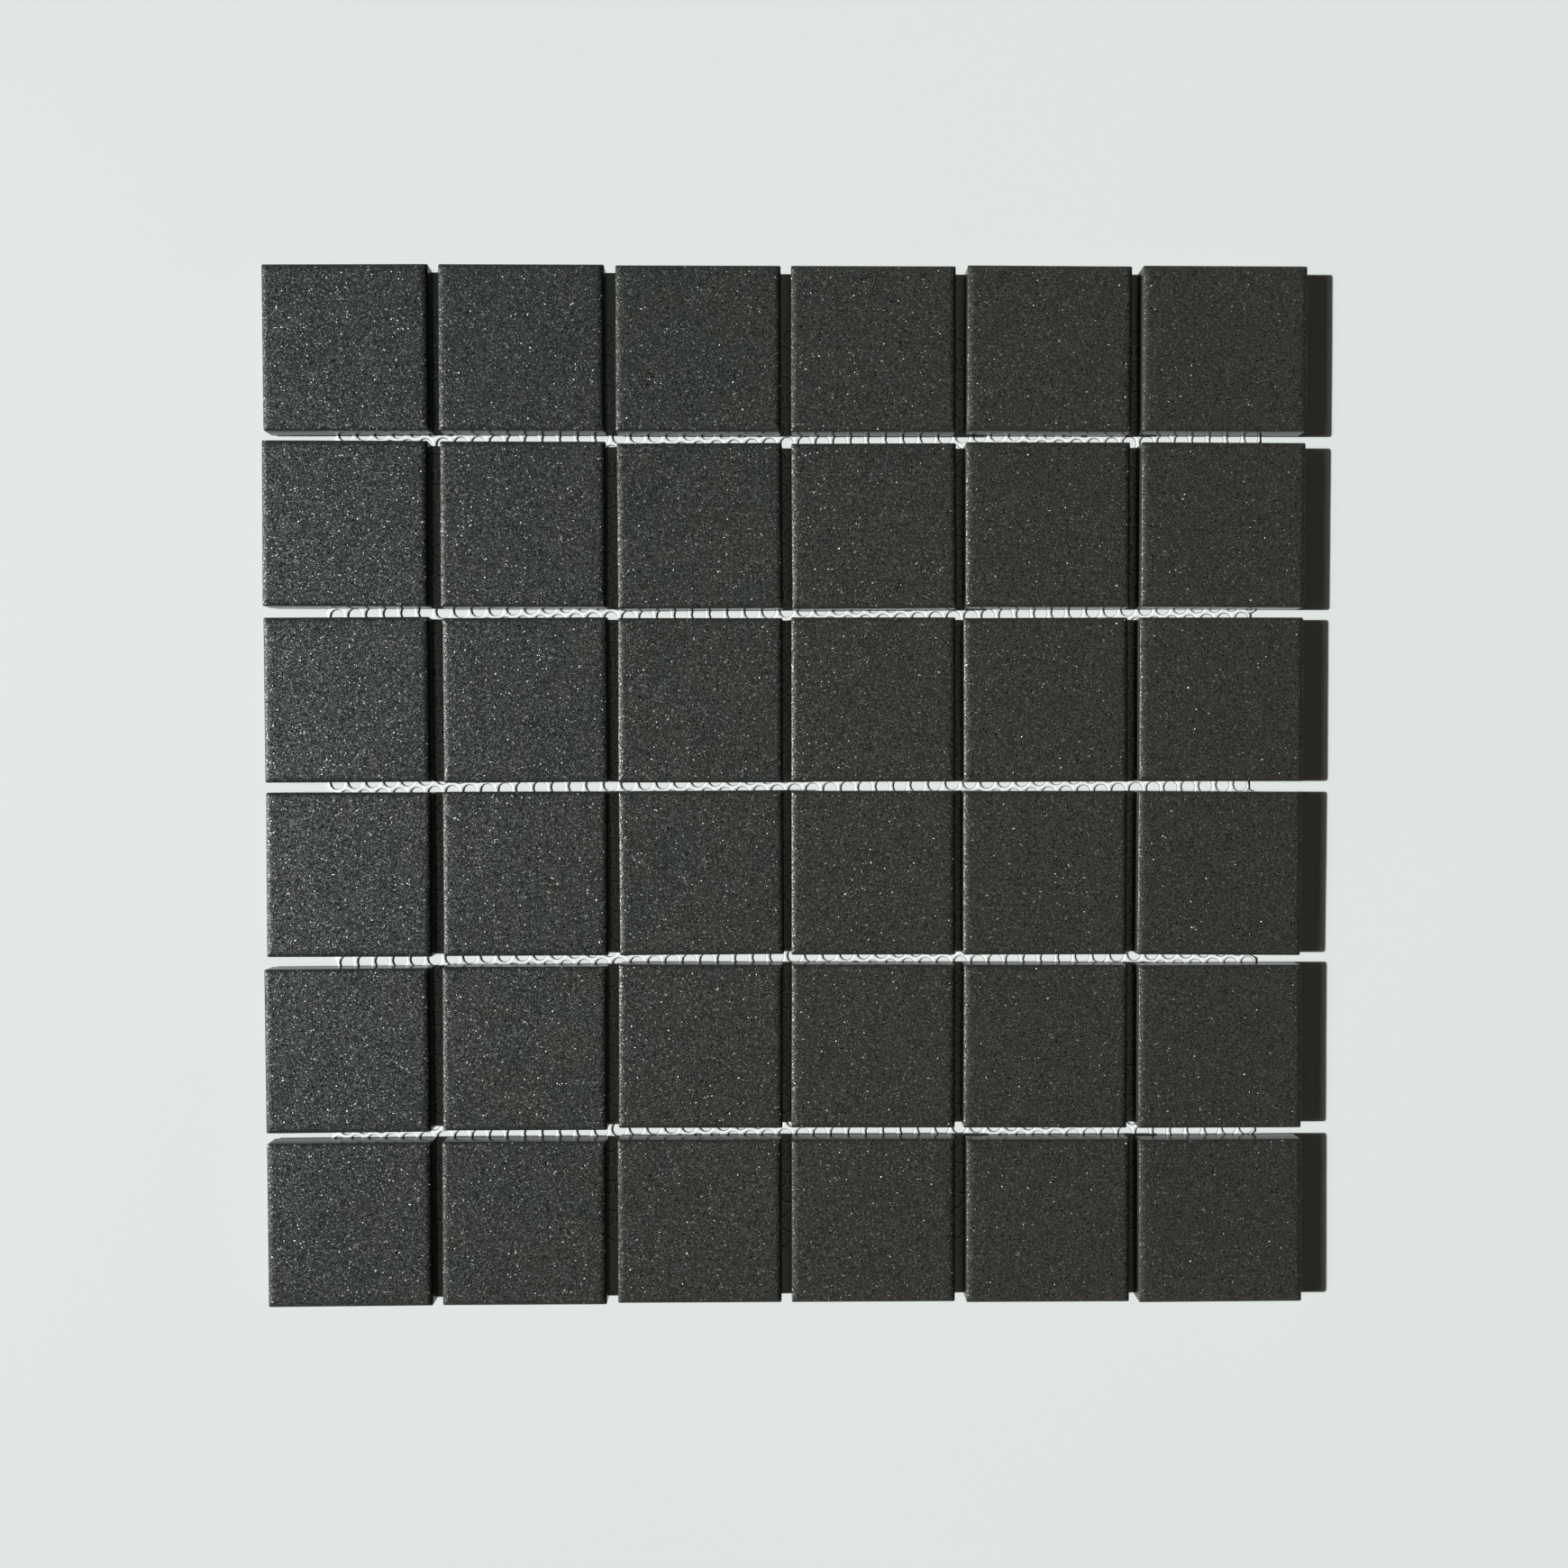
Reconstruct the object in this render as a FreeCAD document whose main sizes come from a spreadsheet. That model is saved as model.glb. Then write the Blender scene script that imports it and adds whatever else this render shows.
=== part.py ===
import FreeCAD, Part

import math
import os

import Sketcher
from FreeCAD import Placement, Rotation, Vector

# A sheet of square porcelain mosaic tiles, held at even joints by a white net
# glued to their backs. It lies face up: the net's underside is at z = 0 and the
# origin is the centre of the tile field. X runs along the rows, Y up the columns.

# Driving dimensions in millimetres, degrees and counts: name, value, meaning
SIZES = [
    ("tiles_across", 6, "tiles in a row"),
    ("tiles_down", 6, "rows of tiles"),
    ("tile_side", 48, "side of a tile"),
    ("tile_thickness", 6, "thickness of a tile"),
    ("joint_width", 3, "open joint between two tiles"),
    ("cushion_width", 2.2, "sloping border of a tile's face"),
    ("cushion_drop", 0.5, "fall of the face across its border"),
    ("arris_bevel", 0.3, "bevel between the sloping border and the sides"),
    ("back_bevel", 0.4, "bevel round a tile's back"),
    ("net_thickness", 0.3, "thickness of the net"),
    ("net_width", 278, "net along the rows"),
    ("net_length", 278, "net along the columns"),
    ("net_shift_x", 2, "centre of the net from the centre of the tile field"),
    ("net_shift_y", 0, "the same along the columns"),
    ("net_pitch", 5.2, "distance between neighbouring openings of a row"),
    ("net_row_pitch", 4.46, "distance between neighbouring rows of openings"),
    ("net_opening", 4.0, "opening across its flats"),
    ("net_turn", 2.7, "turn of the opening rows from the tile rows"),
    ("opening_start_x", 28.6, "centre of the opening that the rows are counted from"),
    ("opening_start_y", 0.0, "the same along the columns"),
    ("opening_overlap", 0.73, "how far under a tile an opening's centre may lie and still be cut"),
]

# Tiles laid visibly out of line, by row and column: shift along X, shift along Y, turn
LAID = {
    (1, 1): (-0.2, 0.1, 0.3),
    (1, 2): (-0.3, 0.2, 0),
    (1, 5): (0.4, 0.2, -0.2),
    (1, 6): (0.7, 0.3, -0.1),
    (2, 1): (-0.6, 0.2, -0.1),
    (2, 3): (0.4, -0.4, 0.3),
    (2, 4): (0.2, -0.4, 0.3),
    (2, 6): (0.4, 0, -0.2),
    (3, 1): (-0.3, 0, 0.3),
    (3, 2): (0.6, -0.1, 0.3),
    (3, 3): (0.5, -0.2, 0),
    (3, 5): (-0.5, -0.1, 0.2),
    (4, 2): (0.4, 0.2, 0.1),
    (4, 3): (0.7, 0.4, 0.3),
    (4, 4): (0, 0.3, 0),
    (4, 5): (-0.6, 0.2, 0),
    (4, 6): (-0.3, 0, -0.4),
    (5, 1): (-0.7, -0.5, 0.4),
    (5, 3): (0.4, 0.5, -0.2),
    (5, 4): (0, 0.4, -0.2),
    (5, 5): (-0.4, 0.2, -0.2),
    (6, 1): (-0.3, -0.6, 0.3),
    (6, 2): (-0.3, -0.4, 0),
    (6, 5): (0.4, -0.3, 0),
    (6, 6): (0.3, -0.5, 0.2),
}


def write_line(sheet, line, name, value, meaning):
    """One line of the sheet: a name, its number with the name as alias, and its meaning."""
    sheet.set(f"A{line}", name)
    sheet.set(f"B{line}", str(value))
    sheet.set(f"C{line}", meaning)
    sheet.setAlias(f"B{line}", name)


def tile_names(sizes):
    """Row, column and name of every tile, row by row from the top."""
    names = []
    for row in range(1, sizes.tiles_down + 1):
        for column in range(1, sizes.tiles_across + 1):
            names.append((row, column, f"row{row}_col{column}"))
    return names


def make_sheet(doc):
    """The spreadsheet of driving dimensions, with three more lines for each tile as laid."""
    sheet = doc.addObject("Spreadsheet::Sheet", "Sizes")
    for line, (name, value, meaning) in enumerate(SIZES, start=1):
        write_line(sheet, line, name, value, meaning)
    doc.recompute()
    line = len(SIZES) + 1
    for row, column, name in tile_names(sheet):
        shift_x, shift_y, turn = LAID.get((row, column), (0, 0, 0))
        write_line(sheet, line, f"shift_x_{name}", shift_x, "tile out of line along X")
        write_line(sheet, line + 1, f"shift_y_{name}", shift_y, "tile out of line along Y")
        write_line(sheet, line + 2, f"turn_{name}", turn, "tile out of square")
        line += 3
    doc.recompute()
    return sheet


def edges_at_height(feature, height):
    """Names of the feature's edges that lie flat at this height."""
    names = []
    for number, edge in enumerate(feature.Shape.Edges, start=1):
        if all(abs(vertex.Z - height) < 1e-6 for vertex in edge.Vertexes):
            names.append(f"Edge{number}")
    return names


def add_outline(body, label):
    """A square sketch centred on the tile's own axis, its side bound to the sheet."""
    outline = body.newObject("Sketcher::SketchObject", label + "_outline")
    plane = next(item for item in body.Origin.OriginFeatures if item.Role == "XY_Plane")
    outline.AttachmentSupport = [(plane, "")]
    outline.MapMode = "FlatFace"
    corners = [Vector(-1, -1), Vector(1, -1), Vector(1, 1), Vector(-1, 1)]
    for index in range(4):
        outline.addGeometry(Part.LineSegment(corners[index], corners[(index + 1) % 4]), False)
    for index in range(4):
        outline.addConstraint(Sketcher.Constraint("Coincident", index, 2, (index + 1) % 4, 1))
    for index in (0, 2):
        outline.addConstraint(Sketcher.Constraint("Horizontal", index))
    for index in (1, 3):
        outline.addConstraint(Sketcher.Constraint("Vertical", index))
    outline.addConstraint(Sketcher.Constraint("Equal", 0, 1))
    outline.addConstraint(Sketcher.Constraint("Symmetric", 0, 1, 1, 2, -1, 1))
    side = outline.addConstraint(Sketcher.Constraint("DistanceX", 0, 1, 0, 2, 2))
    outline.renameConstraint(side, "side")
    outline.setExpression("Constraints.side", "Sizes.tile_side")
    return outline


def make_tile(doc, sizes, row, column, name):
    """One pressed tile: a square slab, its face sloping at the border, its edges bevelled."""
    label = f"tile_{name}"
    body = doc.addObject("PartDesign::Body", label)
    body.Label = label
    slab = body.newObject("PartDesign::Pad", label + "_slab")
    slab.Profile = add_outline(body, label)
    slab.setExpression("Length", "Sizes.tile_thickness")
    doc.recompute()

    cushion = body.newObject("PartDesign::Chamfer", label + "_cushion")
    cushion.Base = (slab, edges_at_height(slab, sizes.tile_thickness))
    cushion.ChamferType = "Two distances"
    cushion.setExpression("Size", "Sizes.cushion_drop")
    cushion.setExpression("Size2", "Sizes.cushion_width")
    doc.recompute()

    arris = body.newObject("PartDesign::Chamfer", label + "_arris")
    arris.Base = (cushion, edges_at_height(cushion, sizes.tile_thickness - sizes.cushion_drop))
    arris.setExpression("Size", "Sizes.arris_bevel")
    doc.recompute()

    back = body.newObject("PartDesign::Chamfer", label + "_back")
    back.Base = (arris, edges_at_height(arris, 0))
    back.setExpression("Size", "Sizes.back_bevel")
    body.Tip = back

    step = "(Sizes.tile_side + Sizes.joint_width)"
    across = f"({column} - (Sizes.tiles_across + 1) / 2) * {step}"
    up = f"((Sizes.tiles_down + 1) / 2 - {row}) * {step}"
    body.setExpression("Placement.Base.x", f"{across} + Sizes.shift_x_{name}")
    body.setExpression("Placement.Base.y", f"{up} + Sizes.shift_y_{name}")
    body.setExpression("Placement.Base.z", "Sizes.net_thickness")
    body.setExpression("Placement.Rotation.Angle", f"Sizes.turn_{name}")
    return body


def joint_lines(count, step):
    """Centre lines of the joints between this many tiles, from the middle of the field."""
    return [(index - count / 2) * step for index in range(1, count)]


def opening_centres(sizes):
    """Centres of the net's openings, in staggered rows that run on past the net's edges."""
    turn = Rotation(Vector(0, 0, 1), sizes.net_turn)
    start = Vector(sizes.opening_start_x, sizes.opening_start_y)
    reach = int(1.5 * max(sizes.net_width, sizes.net_length) / sizes.net_row_pitch)
    centres = []
    for row in range(-reach, reach + 1):
        stagger = (row % 2) / 2
        for column in range(-reach, reach + 1):
            place = Vector((column + stagger) * sizes.net_pitch, row * sizes.net_row_pitch)
            centres.append(start + turn.multVec(place))
    return centres


def shows_in_joint(centre, sizes):
    """Whether an opening lies in a joint, or far enough into one to be seen from above."""
    step = sizes.tile_side + sizes.joint_width
    reach = sizes.joint_width / 2 + sizes.opening_overlap
    across = min(abs(centre.x - line) for line in joint_lines(sizes.tiles_across, step))
    down = min(abs(centre.y - line) for line in joint_lines(sizes.tiles_down, step))
    return min(across, down) <= reach


def opening_wire(centre, sizes):
    """A six-sided opening with flats towards its six neighbours."""
    corner_radius = sizes.net_opening / math.sqrt(3)
    corners = []
    for index in range(6):
        angle = math.radians(30 + 60 * index + sizes.net_turn)
        corners.append(centre + Vector(math.cos(angle), math.sin(angle)) * corner_radius)
    return Part.makePolygon(corners + corners[:1])


def band_edges(sizes):
    """Heights in Y that part the net into bands, each with one joint between tile rows."""
    step = sizes.tile_side + sizes.joint_width
    middle_rows = range(2, sizes.tiles_down)
    cuts = [(row - (sizes.tiles_down + 1) / 2) * step for row in middle_rows]
    half = sizes.net_length / 2
    return [sizes.net_shift_y - half] + cuts + [sizes.net_shift_y + half]


def make_net_band(doc, sizes, number, low, high, centres):
    """One band of the net: a thin sheet with its openings, lying on the floor."""
    left = sizes.net_shift_x - sizes.net_width / 2
    right = left + sizes.net_width
    thread = sizes.net_pitch - sizes.net_opening
    margin = sizes.net_opening / math.sqrt(3) + thread / 2
    corners = [Vector(left, low), Vector(right, low), Vector(right, high), Vector(left, high)]
    wires = [Part.makePolygon(corners + corners[:1])]
    for centre in centres:
        inside_x = left + margin < centre.x < right - margin
        inside_y = low + margin < centre.y < high - margin
        if inside_x and inside_y:
            wires.append(opening_wire(centre, sizes))
    sheet = Part.makeFace(wires, "Part::FaceMakerBullseye")
    band = doc.addObject("Part::Feature", f"net_band_{number}")
    band.Label = f"net_band_{number}"
    band.Shape = sheet.extrude(Vector(0, 0, sizes.net_thickness))
    band.Placement = Placement()
    opening_area = sizes.net_opening ** 2 * math.sqrt(3) / 2
    plain_area = sizes.net_width * (high - low)
    openings = len(wires) - 1
    expected = (plain_area - openings * opening_area) * sizes.net_thickness
    if abs(band.Shape.Volume - expected) > 1e-6 * expected:
        raise RuntimeError(f"{band.Label}: openings missing")
    print(f"{band.Label}: {openings} openings")
    return band


def check(doc, parts):
    """Stops if any object failed, or any part is empty or broken."""
    for item in doc.Objects:
        if "Invalid" in item.State or "Error" in item.State:
            raise RuntimeError(f"{item.Label}: {item.State}")
    for part in parts:
        if part.Shape.isNull() or not part.Shape.isValid():
            raise RuntimeError(f"{part.Label}: bad shape")
        if len(part.Shape.Solids) != 1:
            raise RuntimeError(f"{part.Label}: {len(part.Shape.Solids)} solids")


def main():
    doc = FreeCAD.newDocument("mosaic_tile_sheet")
    sizes = make_sheet(doc)
    parts = []
    for row, column, name in tile_names(sizes):
        parts.append(make_tile(doc, sizes, row, column, name))
    shown = [centre for centre in opening_centres(sizes) if shows_in_joint(centre, sizes)]
    edges = band_edges(sizes)
    for number in range(1, len(edges)):
        parts.append(make_net_band(doc, sizes, number, edges[number - 1], edges[number], shown))
    doc.recompute()
    check(doc, parts)
    os.makedirs("parts", exist_ok=True)
    for part in parts:
        part.Shape.exportStep(f"parts/{part.Label}.step")


main()
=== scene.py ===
import math

import bpy
import numpy as np
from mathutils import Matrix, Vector, noise


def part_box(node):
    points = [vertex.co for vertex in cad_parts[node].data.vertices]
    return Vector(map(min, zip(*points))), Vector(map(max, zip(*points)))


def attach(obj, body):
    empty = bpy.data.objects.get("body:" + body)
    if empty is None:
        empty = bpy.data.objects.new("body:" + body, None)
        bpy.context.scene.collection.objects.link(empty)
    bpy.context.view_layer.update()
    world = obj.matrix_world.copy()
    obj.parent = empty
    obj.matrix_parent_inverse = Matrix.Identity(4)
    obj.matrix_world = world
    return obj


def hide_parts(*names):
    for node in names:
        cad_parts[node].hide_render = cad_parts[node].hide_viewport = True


# A sheet of square porcelain mosaic tiles on a white net, seen from above.
# Lengths are in metres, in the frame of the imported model.

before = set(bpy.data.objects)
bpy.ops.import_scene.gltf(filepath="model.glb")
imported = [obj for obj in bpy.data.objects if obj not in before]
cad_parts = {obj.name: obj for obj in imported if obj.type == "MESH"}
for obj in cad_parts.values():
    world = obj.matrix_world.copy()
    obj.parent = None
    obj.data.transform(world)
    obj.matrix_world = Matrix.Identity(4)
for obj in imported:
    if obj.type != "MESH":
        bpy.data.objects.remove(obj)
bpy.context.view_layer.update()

MM = 0.001

# Tile form: a face that falls away along its edges, with a rounded arris and rounded upright corners
CUSHION_WIDTH = 2.0 * MM
CUSHION_SLOPE = math.radians(33)
CUSHION_STEPS = 6
ARRIS_RADIUS = 0.3 * MM
ARRIS_STEPS = 3
FACE_STEPS = 24
CORNER_RADIUS = 0.4 * MM
BACK_BEVEL = 0.4 * MM
WAVE_HEIGHT = 0.04 * MM
WAVE_PITCH = 14 * MM

# Grain of the unglazed face: a tile's sides have a share of it, which grows to the whole over the edge steps
GRAIN_SIZE = 0.3 * MM
PEBBLE_SIZE = 0.25 * MM
PEBBLE_HEIGHT = 0.045 * MM
FACET_SIZE = 0.25 * MM
FACET_SLOPE = 0.27
FACET_TAIL = 1.02
SIDE_GRAIN = 0.1
EDGE_STEPS = 8

# Sheen of the porcelain: the spark share is the part of the facets that is shiny
PORCELAIN_SPECULAR = 0.33
FACE_ROUGHNESS = 0.48
SIDE_ROUGHNESS = 0.22
SPARK_ROUGHNESS = 0.27
SPARK_SHARE = 0.24

# Colour of the porcelain: greener at the upper left of the sheet, browner at the lower right, in soft clouds.
# The drift over the sheet is painted light: it paints in the tint and brightness that the light gave the sheet,
# lighter and browner to the right and towards the bottom. The soft clouds are the porcelain's own tone.
GREEN_DARK = (0.020, 0.0265, 0.023)
GREEN_LIGHT = (0.034, 0.0425, 0.038)
BROWN_DARK = (0.028, 0.0285, 0.0245)
BROWN_LIGHT = (0.042, 0.043, 0.038)
SHEET_REACH = 150 * MM
# The lowness weight is painted light: the lower rows are made browner and lighter, as the light fell on them.
PAINTED_LOWNESS_WEIGHT = 0.15
CLOUD_WEIGHT = 0.2
CLOUD_SIZE = 11 * MM

# Net form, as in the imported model: its start is the middle of one opening
NET_PITCH = 5.2 * MM
NET_ROW_PITCH = 4.46 * MM
NET_OPENING = 4.0 * MM
NET_TURN = math.radians(2.7)
NET_START = Vector((28.6, 0.0)) * MM
NET_CELL_SIDES = 12
NET_RIM = 0.28 * MM
MERGE_REACH = 0.01 * MM

# Colour of the net
NET_SHADE = (0.81, 0.85, 0.83)
NET_WHITE = (0.87, 0.91, 0.89)
# The rim grey is painted shade: it darkens the sloping rims of the openings into the dark outlines that light
# and shadow give them.
NET_RIM_PAINTED_SHADE = (0.13, 0.138, 0.134)
NET_CLOUD_SIZE = 3 * MM
NET_ROUGHNESS = 0.55

# Floor: it lies a hair below the net
FLOOR_REACH = 2.0
FLOOR_DROP = 0.02 * MM
FLOOR_SHADE = (0.742, 0.789, 0.765)
FLOOR_WHITE = (0.762, 0.809, 0.785)
FLOOR_CLOUD_SIZE = 0.25
FLOOR_ROUGHNESS = 0.7
FLOOR_SPECULAR = 0.2

# Camera: about 34 cm above the sheet, nearly square to it
IMAGE_PIXELS = 1740
CAMERA_PLACE = Vector((-3.6, 5.05, 338)) * MM
CAMERA_TILT = (math.radians(-0.723), math.radians(-0.507), math.radians(-0.056))
CAMERA_FOCAL_PIXELS = 1262
SENSOR_WIDTH = 36.0

# Light: a small strong lamp low on the left with a weak glow round it, a warm ceiling and a weak warm fill
KEY_ELEVATION = math.radians(29)
KEY_SHARE = 0.86
KEY_ANGLE = math.radians(1.2)
HALO_SHARE = 0.10
HALO_ANGLE = math.radians(13)
CEILING_SHARE = 0.016
CEILING_ANGLE = math.radians(24)
FILL_SHARE = 0.011
FILL_COLOUR = (1.0, 0.90, 0.77)


def new_mesh_object(name, vertices, faces):
    """A smooth-shaded mesh object made from vertex and face lists."""
    mesh = bpy.data.meshes.new(name)
    mesh.from_pydata(vertices, [], faces)
    mesh.validate()
    mesh.polygons.foreach_set("use_smooth", [True] * len(mesh.polygons))
    piece = bpy.data.objects.new(name, mesh)
    bpy.context.scene.collection.objects.link(piece)
    return piece


def store_values(piece, name, values):
    """Keeps one number for each vertex, which the material reads by name."""
    attribute = piece.data.attributes.new(name, "FLOAT", "POINT")
    attribute.data.foreach_set("value", np.array(values, np.float32))


def tile_place(node):
    """Centre, lower and upper height, side and turn of a tile, read from its CAD node."""
    low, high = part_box(node)
    points = np.array([vertex.co[:2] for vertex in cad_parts[node].data.vertices])
    left = points[np.argmin(points[:, 0] + points[:, 1])]
    right = points[np.argmax(points[:, 0] - points[:, 1])]
    along = right - left
    side = float(np.hypot(along[0], along[1]))
    turn = math.atan2(along[1], along[0])
    return (low + high) / 2, low.z, high.z, side, turn


def edge_stations(half):
    """Places across a tile with their drop below the face: close together on the rounded edges."""
    arris_run = ARRIS_RADIUS * (1 - math.sin(CUSHION_SLOPE))
    cushion_radius = (CUSHION_WIDTH - arris_run) / math.sin(CUSHION_SLOPE)
    flat = half - CUSHION_WIDTH
    rounding = []
    for step in range(1, CUSHION_STEPS + 1):
        angle = step / CUSHION_STEPS * CUSHION_SLOPE
        rounding.append((flat + cushion_radius * math.sin(angle), cushion_radius * (1 - math.cos(angle))))
    turn_place = half - ARRIS_RADIUS
    turn_drop = rounding[-1][1] + ARRIS_RADIUS * math.cos(CUSHION_SLOPE)
    for step in range(1, ARRIS_STEPS + 1):
        angle = CUSHION_SLOPE + step / ARRIS_STEPS * (math.pi / 2 - CUSHION_SLOPE)
        place = turn_place + ARRIS_RADIUS * math.sin(angle)
        rounding.append((place, turn_drop - ARRIS_RADIUS * math.cos(angle)))
    middle = [(-flat + 2 * flat * step / FACE_STEPS, 0.0) for step in range(FACE_STEPS + 1)]
    return [(-place, drop) for place, drop in reversed(rounding)] + middle + rounding


def round_corner(x, y, half):
    """Moves a point of the square outline inward, so that the upright corners are rounded."""
    over_x = abs(x) - (half - CORNER_RADIUS)
    over_y = abs(y) - (half - CORNER_RADIUS)
    if over_x <= 0 or over_y <= 0:
        return x, y
    shrink = max(over_x, over_y) / math.hypot(over_x, over_y)
    x = math.copysign(half - CORNER_RADIUS + over_x * shrink, x)
    y = math.copysign(half - CORNER_RADIUS + over_y * shrink, y)
    return x, y


def make_face(stations, half, top, place):
    """Vertices, shares of the grain and faces of a tile's face, as a grid over its stations."""
    count = len(stations)
    edge_drop = stations[0][1]
    vertices = []
    shares = []
    for row, (y_flat, y_drop) in enumerate(stations):
        for column, (x_flat, x_drop) in enumerate(stations):
            x, y = round_corner(x_flat, y_flat, half)
            drop = min((x_drop ** 3 + y_drop ** 3) ** (1 / 3), edge_drop)
            x, y, z = place(x, y, top - drop)
            wave = noise.noise(Vector((x, y, 0.0)) / WAVE_PITCH)
            lift = (1 - drop / edge_drop) * WAVE_HEIGHT * (wave - 0.5)
            vertices.append((x, y, z + lift))
            inward = min(row, column, count - 1 - row, count - 1 - column)
            shares.append(min(1.0, SIDE_GRAIN + (1 - SIDE_GRAIN) * inward / EDGE_STEPS))
    faces = []
    for row in range(count - 1):
        for column in range(count - 1):
            first = row * count + column
            faces.append((first, first + 1, first + count + 1, first + count))
    return vertices, shares, faces


def add_sides(vertices, faces, stations, half, levels, place):
    """Adds a tile's sides, from the rim of its face down through the levels, and its back."""
    last = len(stations) - 1
    ring = [(column, 0) for column in range(last)]
    ring += [(last, row) for row in range(last)]
    ring += [(column, last) for column in range(last, 0, -1)]
    ring += [(0, row) for row in range(last, 0, -1)]
    upper = [row * len(stations) + column for column, row in ring]
    for inset, height in levels:
        shrink = (half - inset) / half
        lower = []
        for column, row in ring:
            x, y = round_corner(stations[column][0], stations[row][0], half)
            lower.append(len(vertices))
            vertices.append(place(x * shrink, y * shrink, height))
        for index in range(len(ring)):
            after = (index + 1) % len(ring)
            faces.append((upper[after], upper[index], lower[index], lower[after]))
        upper = lower
    faces.append(tuple(reversed(upper)))


def make_tile(node):
    """One tile with rounded edges and a faintly wavy face, standing for its CAD node."""
    centre, bottom, top, side, turn = tile_place(node)
    half = side / 2
    stations = edge_stations(half)
    edge_drop = stations[0][1]
    cos_turn, sin_turn = math.cos(turn), math.sin(turn)

    def place(x, y, z):
        return (centre.x + x * cos_turn - y * sin_turn, centre.y + x * sin_turn + y * cos_turn, z)

    vertices, shares, faces = make_face(stations, half, top, place)
    halfway = bottom + (top - edge_drop - bottom) / 2
    levels = [(0.0, halfway), (0.0, bottom + BACK_BEVEL), (BACK_BEVEL, bottom)]
    add_sides(vertices, faces, stations, half, levels, place)

    piece = new_mesh_object(node.replace("tile", "porcelain_tile"), vertices, faces)
    store_values(piece, "grain_share", shares + [SIDE_GRAIN] * (len(vertices) - len(shares)))
    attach(piece, "root")
    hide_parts(node)
    return piece


def net_point(x, y):
    """A point given along the net's own rows, in the floor's axes."""
    cos_turn, sin_turn = math.cos(NET_TURN), math.sin(NET_TURN)
    return Vector((x * cos_turn - y * sin_turn, x * sin_turn + y * cos_turn))


def cell_ring(centre, radius, height):
    """Points round an opening: on a circle, or on the six-sided cell's outline where no radius is given."""
    squash = NET_ROW_PITCH / (NET_PITCH * math.sqrt(3) / 2)
    points = []
    for index in range(NET_CELL_SIDES):
        angle = math.radians(360 / NET_CELL_SIDES) * index
        nearest_flat = round(math.degrees(angle) / 60) * 60
        reach = radius or NET_PITCH / 2 / math.cos(angle - math.radians(nearest_flat))
        place = centre + net_point(reach * math.cos(angle), reach * math.sin(angle) * squash)
        points.append((place.x, place.y, height))
    return points


def net_cell_centres(low, high):
    """Centres of the net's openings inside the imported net's outline."""
    margin = NET_OPENING / 2
    centres = []
    reach = int(1.5 * (high.x - low.x) / NET_ROW_PITCH)
    for row in range(-reach, reach + 1):
        for column in range(-reach, reach + 1):
            centre = NET_START + net_point((column + (row % 2) / 2) * NET_PITCH, row * NET_ROW_PITCH)
            inside_x = low.x + margin < centre.x < high.x - margin
            inside_y = low.y + margin < centre.y < high.y - margin
            if inside_x and inside_y:
                centres.append(centre)
    return centres


def make_net_band(node, centres):
    """One band of the net: flat-topped threads with sloping rims round the openings."""
    low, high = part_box(node)
    middle = (low.z + high.z) / 2
    radius = NET_OPENING / 2
    profile = [
        (None, high.z),
        (radius + NET_RIM, high.z),
        (radius + NET_RIM / 4, middle),
        (radius, low.z),
        (None, low.z),
    ]
    vertices = []
    rims = []
    outline = {}

    def add_vertex(point, on_outline):
        """Adds a vertex, or finds the one that the next cell has there, and gives its number."""
        key = tuple(round(value / MERGE_REACH) for value in point)
        if on_outline and key in outline:
            return outline[key]
        number = len(vertices)
        vertices.append(point)
        rims.append(0.0 if point[2] == high.z else 1.0)
        if on_outline:
            outline[key] = number
        return number

    faces = []
    edges = {}
    for centre in centres:
        rings = []
        for reach, height in profile:
            rings.append([add_vertex(point, reach is None) for point in cell_ring(centre, reach, height)])
        for index in range(NET_CELL_SIDES):
            after = (index + 1) % NET_CELL_SIDES
            edges[(rings[0][index], rings[0][after])] = (rings[-1][index], rings[-1][after])
        for outer, inner in zip(rings, rings[1:]):
            for index in range(NET_CELL_SIDES):
                after = (index + 1) % NET_CELL_SIDES
                faces.append((outer[index], outer[after], inner[after], inner[index]))
    for (start, end), (start_low, end_low) in edges.items():
        if (end, start) not in edges:
            faces.append((end, start, start_low, end_low))

    piece = new_mesh_object(node.replace("net", "backing_net"), vertices, faces)
    store_values(piece, "rim", rims)
    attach(piece, "root")
    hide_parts(node)
    return piece


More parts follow.
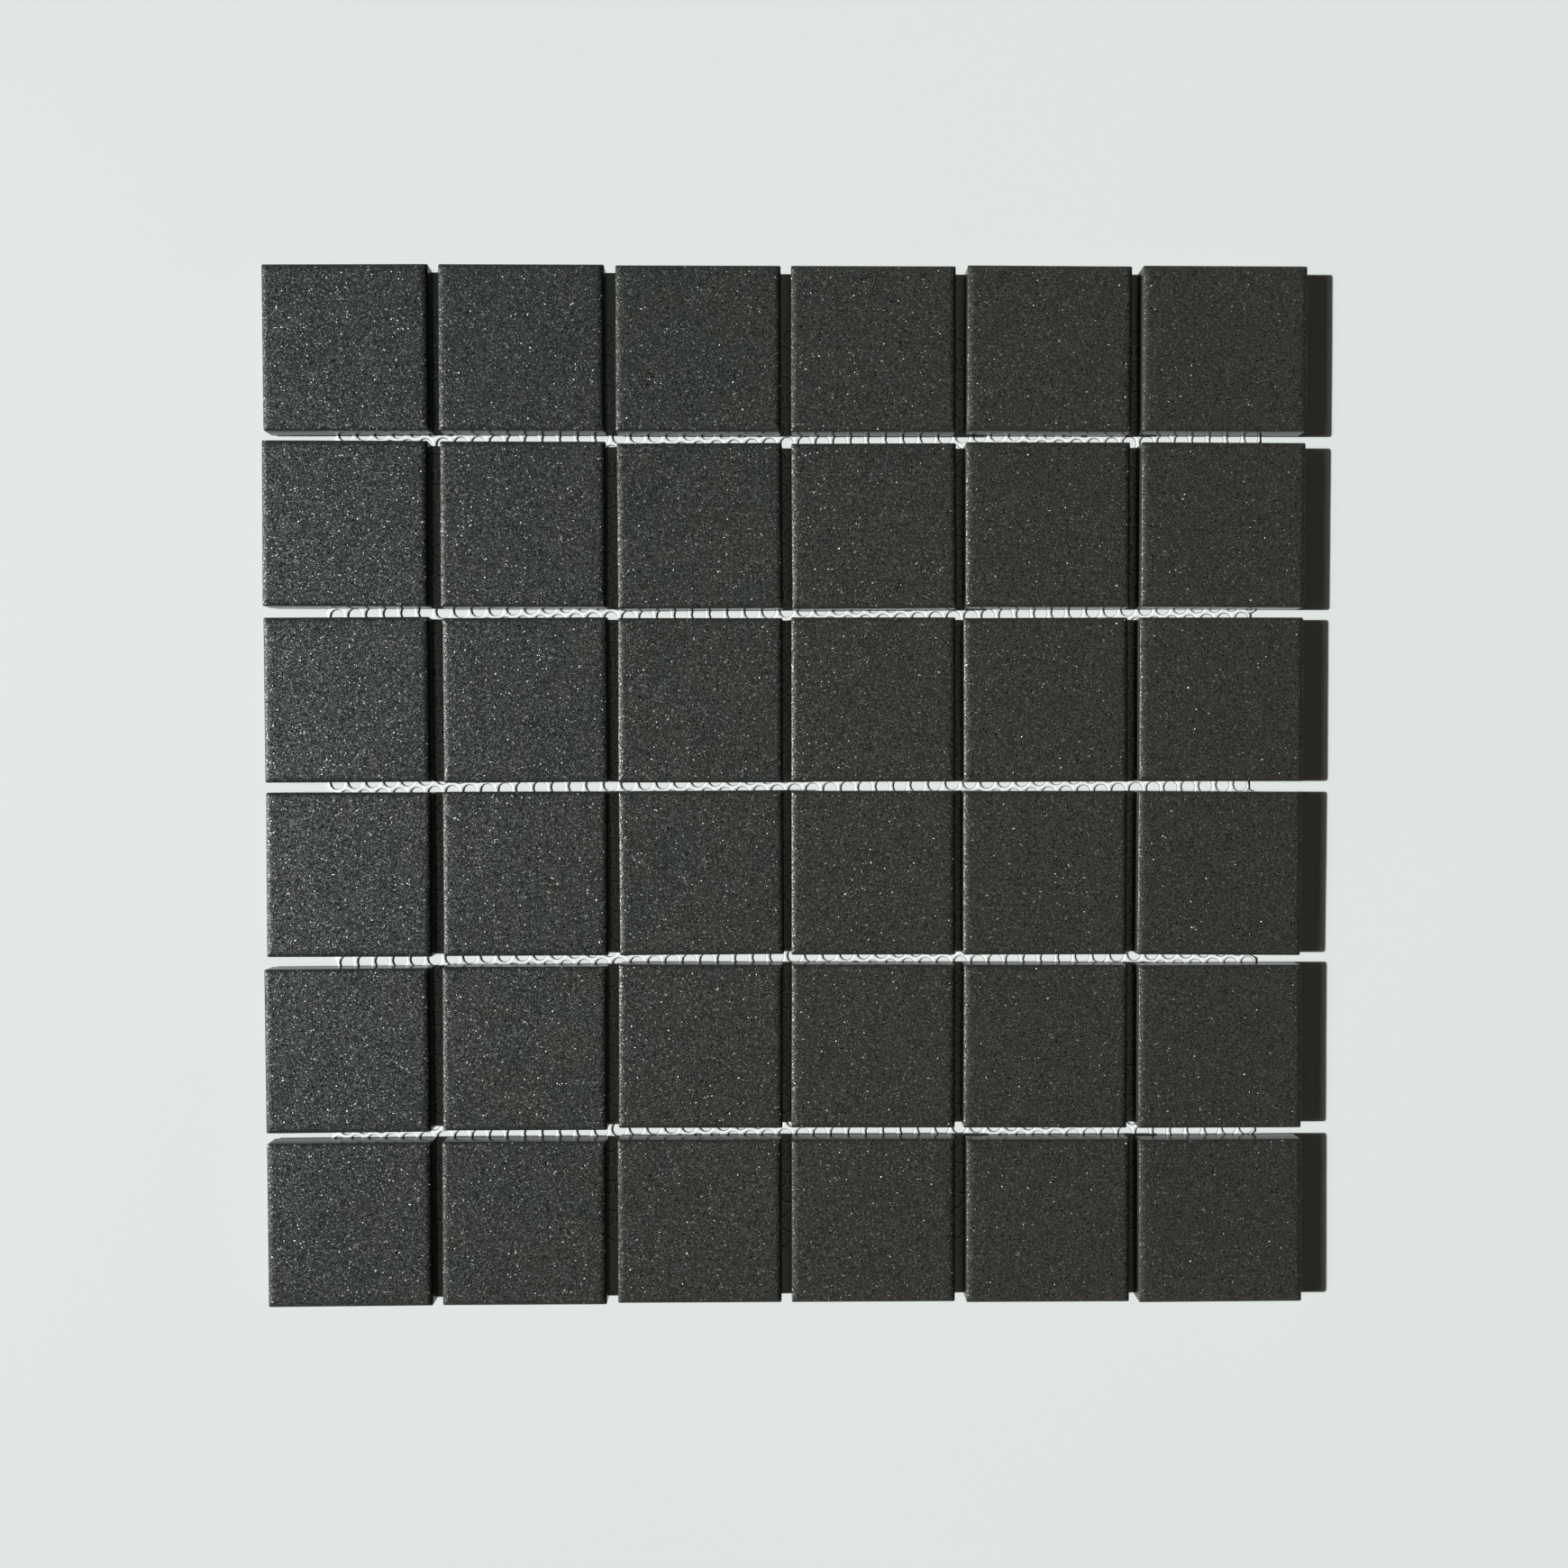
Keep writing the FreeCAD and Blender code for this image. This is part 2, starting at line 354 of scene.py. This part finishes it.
class Nodes:
    """A material's node tree, with short calls to add and join nodes."""

    def __init__(self, name):
        self.material = bpy.data.materials.new(name)
        self.material.use_nodes = True
        self.tree = self.material.node_tree
        self.tree.nodes.clear()

    def add(self, kind, **settings):
        node = self.tree.nodes.new(kind)
        for key, value in settings.items():
            setattr(node, key, value)
        return node

    def join(self, source, target):
        self.tree.links.new(source, target)

    def place(self):
        return self.add("ShaderNodeTexCoord").outputs["Object"]

    def stored(self, name):
        return self.add("ShaderNodeAttribute", attribute_name=name).outputs["Fac"]

    def noise(self, coordinates, size, detail):
        node = self.add("ShaderNodeTexNoise")
        node.inputs["Scale"].default_value = 1 / size
        node.inputs["Detail"].default_value = detail
        self.join(coordinates, node.inputs["Vector"])
        return node.outputs["Fac"]

    def remap(self, value, low, high, to_low=0.0, to_high=1.0):
        node = self.add("ShaderNodeMapRange", clamp=True)
        self.join(value, node.inputs["Value"])
        for key, number in zip(("From Min", "From Max", "To Min", "To Max"), (low, high, to_low, to_high)):
            node.inputs[key].default_value = number
        return node.outputs["Result"]

    def math(self, operation, first, second=0.0):
        node = self.add("ShaderNodeMath", operation=operation)
        for socket, value in zip(node.inputs, (first, second)):
            if isinstance(value, (int, float)):
                socket.default_value = value
            else:
                self.join(value, socket)
        return node.outputs[0]

    def mix(self, factor, first, second):
        node = self.add("ShaderNodeMix", data_type="RGBA")
        self.join(factor, node.inputs["Factor"])
        for socket, value in zip((node.inputs["A"], node.inputs["B"]), (first, second)):
            if isinstance(value, tuple):
                socket.default_value = value + (1.0,)
            else:
                self.join(value, socket)
        return node.outputs["Result"]

    def finish(self, shader):
        output = self.add("ShaderNodeOutputMaterial")
        self.join(shader.outputs["BSDF"], output.inputs["Surface"])
        return self.material


def facets(nodes, coordinates, share):
    """A random lean for each small facet of the grain, mostly slight, and a number that picks the shiny ones."""
    crystal = nodes.add("ShaderNodeTexVoronoi", feature="F1")
    crystal.inputs["Scale"].default_value = 1 / FACET_SIZE
    nodes.join(coordinates, crystal.inputs["Vector"])
    chance = nodes.add("ShaderNodeSeparateColor")
    nodes.join(crystal.outputs["Color"], chance.inputs["Color"])
    rest = nodes.math("SUBTRACT", FACET_TAIL, chance.outputs["Red"])
    odds = nodes.math("DIVIDE", chance.outputs["Red"], rest)
    slope = nodes.math("MULTIPLY", nodes.math("SQRT", odds), FACET_SLOPE)
    slope = nodes.math("MULTIPLY", slope, share)
    turn = nodes.math("MULTIPLY", chance.outputs["Green"], 2 * math.pi)
    lean = nodes.add("ShaderNodeCombineXYZ")
    nodes.join(nodes.math("MULTIPLY", slope, nodes.math("COSINE", turn)), lean.inputs["X"])
    nodes.join(nodes.math("MULTIPLY", slope, nodes.math("SINE", turn)), lean.inputs["Y"])
    return lean.outputs["Vector"], chance.outputs["Blue"]


def porcelain_colour(nodes, coordinates):
    """Charcoal with a light and a dark grain, which drifts from green to brown over the sheet; the drift is
    painted light, browner and lighter to the right and towards the bottom.
    """
    grain = nodes.remap(nodes.noise(coordinates, GRAIN_SIZE, 0.0), 0.25, 0.75)
    cloud = nodes.noise(coordinates, CLOUD_SIZE, 2.0)
    across = nodes.add("ShaderNodeSeparateXYZ")
    nodes.join(coordinates, across.inputs["Vector"])
    # Painted light: the colour turns browner and lighter to the right and towards the bottom, as the light fell
    # across the sheet.
    painted_rightness_light = nodes.remap(across.outputs["X"], -SHEET_REACH, SHEET_REACH)
    painted_lowness_light = nodes.remap(across.outputs["Y"], -SHEET_REACH, SHEET_REACH, PAINTED_LOWNESS_WEIGHT, -PAINTED_LOWNESS_WEIGHT)
    painted_light_and_cloud = nodes.math("ADD", painted_rightness_light, painted_lowness_light)
    painted_light_and_cloud = nodes.math("ADD", painted_light_and_cloud, nodes.remap(cloud, 0.3, 0.7, -CLOUD_WEIGHT, CLOUD_WEIGHT))
    green = nodes.mix(grain, GREEN_DARK, GREEN_LIGHT)
    brown = nodes.mix(grain, BROWN_DARK, BROWN_LIGHT)
    return nodes.mix(nodes.remap(painted_light_and_cloud, 0.1, 0.5), green, brown)


def porcelain_material():
    """Charcoal unglazed porcelain: a fine hard grain, with small facets that glint."""
    nodes = Nodes("porcelain")
    coordinates = nodes.place()
    share = nodes.stored("grain_share")
    shader = nodes.add("ShaderNodeBsdfPrincipled")
    shader.inputs["Specular IOR Level"].default_value = PORCELAIN_SPECULAR
    nodes.join(porcelain_colour(nodes, coordinates), shader.inputs["Base Color"])

    lean, pick = facets(nodes, coordinates, share)
    spark_rise = SPARK_ROUGHNESS - SIDE_ROUGHNESS
    face_rise = FACE_ROUGHNESS - SIDE_ROUGHNESS
    rise = nodes.remap(pick, SPARK_SHARE - 0.01, SPARK_SHARE, spark_rise, face_rise)
    rise = nodes.math("MULTIPLY", rise, share)
    nodes.join(nodes.math("ADD", rise, SIDE_ROUGHNESS), shader.inputs["Roughness"])

    bump = nodes.add("ShaderNodeBump")
    bump.inputs["Distance"].default_value = PEBBLE_HEIGHT
    nodes.join(share, bump.inputs["Strength"])
    nodes.join(nodes.noise(coordinates, PEBBLE_SIZE, 0.0), bump.inputs["Height"])
    leaning = nodes.add("ShaderNodeVectorMath", operation="ADD")
    nodes.join(bump.outputs["Normal"], leaning.inputs[0])
    nodes.join(lean, leaning.inputs[1])
    normal = nodes.add("ShaderNodeVectorMath", operation="NORMALIZE")
    nodes.join(leaning.outputs["Vector"], normal.inputs[0])
    nodes.join(normal.outputs["Vector"], shader.inputs["Normal"])
    return nodes.finish(shader)


def net_material():
    """White plastic mesh, matt and faintly uneven, with painted shade that makes it greyer along the upper rims
    of its openings.
    """
    nodes = Nodes("net")
    facing = nodes.add("ShaderNodeSeparateXYZ")
    nodes.join(nodes.add("ShaderNodeNewGeometry").outputs["True Normal"], facing.inputs["Vector"])
    upward = nodes.remap(facing.outputs["Z"], 0.1, 0.3)
    # Painted shade on the upward-facing sloping rims of the openings.
    rim = nodes.math("MULTIPLY", nodes.stored("rim"), upward)
    cloud = nodes.noise(nodes.place(), NET_CLOUD_SIZE, 2.0)
    white = nodes.mix(nodes.remap(cloud, 0.3, 0.7), NET_SHADE, NET_WHITE)
    shader = nodes.add("ShaderNodeBsdfPrincipled")
    nodes.join(nodes.mix(nodes.remap(rim, 0.0, 0.6), white, NET_RIM_PAINTED_SHADE), shader.inputs["Base Color"])
    shader.inputs["Roughness"].default_value = NET_ROUGHNESS
    return nodes.finish(shader)


def floor_material():
    """Plain near-white floor."""
    nodes = Nodes("floor")
    cloud = nodes.noise(nodes.place(), FLOOR_CLOUD_SIZE, 2.0)
    shader = nodes.add("ShaderNodeBsdfPrincipled")
    nodes.join(nodes.mix(cloud, FLOOR_SHADE, FLOOR_WHITE), shader.inputs["Base Color"])
    shader.inputs["Roughness"].default_value = FLOOR_ROUGHNESS
    shader.inputs["Specular IOR Level"].default_value = FLOOR_SPECULAR
    return nodes.finish(shader)


def make_floor():
    """A plain square floor."""
    corners = []
    for x, y in ((-1, -1), (1, -1), (1, 1), (-1, 1)):
        corners.append((x * FLOOR_REACH, y * FLOOR_REACH, -FLOOR_DROP))
    floor = new_mesh_object("floor", corners, [(0, 1, 2, 3)])
    floor.data.materials.append(floor_material())


def add_sun(name, elevation, share, angle, colour=(1.0, 1.0, 1.0)):
    """A far lamp on the left; its share is what it adds to the floor's brightness."""
    data = bpy.data.lights.new(name, "SUN")
    data.energy = share * math.pi / math.sin(elevation)
    data.angle = angle
    data.color = colour
    lamp = bpy.data.objects.new(name, data)
    direction = Vector((math.cos(elevation), 0.0, -math.sin(elevation)))
    lamp.rotation_euler = direction.to_track_quat("-Z", "Y").to_euler()
    bpy.context.scene.collection.objects.link(lamp)


def make_light():
    """The key and its halo, the ceiling, and a weak fill from the world."""
    add_sun("key", KEY_ELEVATION, KEY_SHARE, KEY_ANGLE)
    add_sun("halo", KEY_ELEVATION, HALO_SHARE, HALO_ANGLE)
    add_sun("ceiling", math.pi / 2, CEILING_SHARE, CEILING_ANGLE, FILL_COLOUR)

    world = bpy.data.worlds.new("studio")
    world.use_nodes = True
    tree = world.node_tree
    tree.nodes.clear()
    background = tree.nodes.new("ShaderNodeBackground")
    background.inputs["Color"].default_value = FILL_COLOUR + (1.0,)
    background.inputs["Strength"].default_value = FILL_SHARE
    output = tree.nodes.new("ShaderNodeOutputWorld")
    tree.links.new(background.outputs["Background"], output.inputs["Surface"])
    bpy.context.scene.world = world


def make_camera():
    """The camera at the photograph's place, with its whole width on the sensor."""
    data = bpy.data.cameras.new("camera")
    data.sensor_fit = "HORIZONTAL"
    data.sensor_width = SENSOR_WIDTH
    data.lens = SENSOR_WIDTH * CAMERA_FOCAL_PIXELS / IMAGE_PIXELS
    data.clip_start = 0.01
    camera = bpy.data.objects.new("camera", data)
    camera.location = CAMERA_PLACE
    camera.rotation_euler = CAMERA_TILT
    bpy.context.scene.collection.objects.link(camera)
    bpy.context.scene.camera = camera


def make_net():
    """The whole net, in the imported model's bands."""
    material = net_material()
    boxes = {node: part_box(node) for node in sorted(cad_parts) if node.startswith("net")}
    net_low = Vector([min(low[axis] for low, high in boxes.values()) for axis in range(3)])
    net_high = Vector([max(high[axis] for low, high in boxes.values()) for axis in range(3)])
    centres = net_cell_centres(net_low, net_high)
    for node, (low, high) in boxes.items():
        inside = [centre for centre in centres if low.y <= centre.y < high.y]
        make_net_band(node, inside).data.materials.append(material)


def make_tiles():
    """All the tiles, in one porcelain."""
    material = porcelain_material()
    for node in sorted(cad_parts):
        if node.startswith("tile"):
            make_tile(node).data.materials.append(material)


make_camera()
make_tiles()
make_net()
make_floor()
make_light()
bpy.context.scene.view_settings.view_transform = "Standard"
